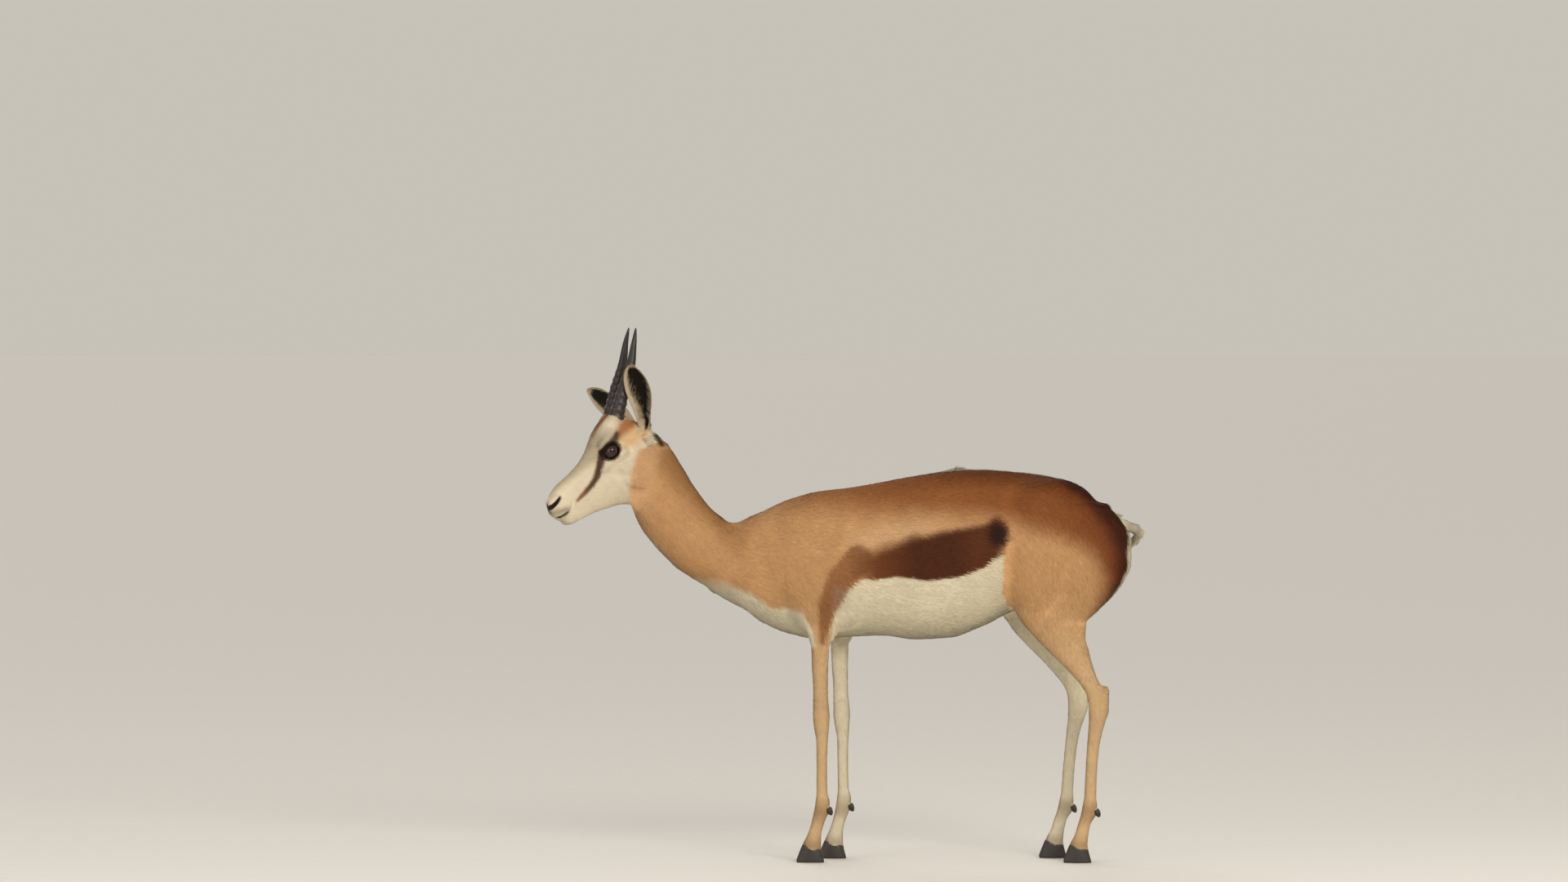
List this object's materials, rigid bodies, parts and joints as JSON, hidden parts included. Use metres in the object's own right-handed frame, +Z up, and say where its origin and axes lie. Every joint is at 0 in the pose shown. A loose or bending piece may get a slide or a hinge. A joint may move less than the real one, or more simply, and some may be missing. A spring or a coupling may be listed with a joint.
{
  "type": "springbok",
  "caption": "A springbok ewe at life size, standing still on four cloven feet with its head raised and turned slightly, slender horns, long cupped ears and a tufted tail.",
  "frame": {"origin": "floor level, under the centre of the whole object's box", "axes": "+Z up, -X the way the animal faces, -Y its left side"},
  "size_m": [1.1753, 0.2679, 1.0442],
  "materials": {
    "tan_coat": "short tan hair",
    "brown_coat": "short cinnamon-brown hair",
    "white_coat": "short white hair",
    "dark_tuft": "long near-black hair",
    "dark_horn": "dull dark horn",
    "black_hoof": "dull black hoof",
    "dark_eye": "wet dark eye"
  },
  "bodies": {
    "root": {"claw_foreleg_left_inner": "black_hoof", "claw_foreleg_left_outer": "black_hoof", "claw_foreleg_right_inner": "black_hoof", "claw_foreleg_right_outer": "black_hoof", "claw_hindleg_left_inner": "black_hoof", "claw_hindleg_left_outer": "black_hoof", "claw_hindleg_right_inner": "black_hoof", "claw_hindleg_right_outer": "black_hoof", "ear_left": "brown_coat", "ear_right": "brown_coat", "eye_left": "dark_eye", "eye_right": "dark_eye", "foreleg_left_lower": "tan_coat", "foreleg_left_upper": "tan_coat", "foreleg_right_lower": "tan_coat", "foreleg_right_upper": "tan_coat", "head": "white_coat", "hindleg_left_lower": "tan_coat", "hindleg_left_upper": "tan_coat", "hindleg_right_lower": "tan_coat", "hindleg_right_upper": "tan_coat", "horn_left": "dark_horn", "horn_right": "dark_horn", "neck": "tan_coat", "tail": "white_coat", "tail_tuft": "dark_tuft", "torso": "brown_coat"}
  },
  "joints": []
}
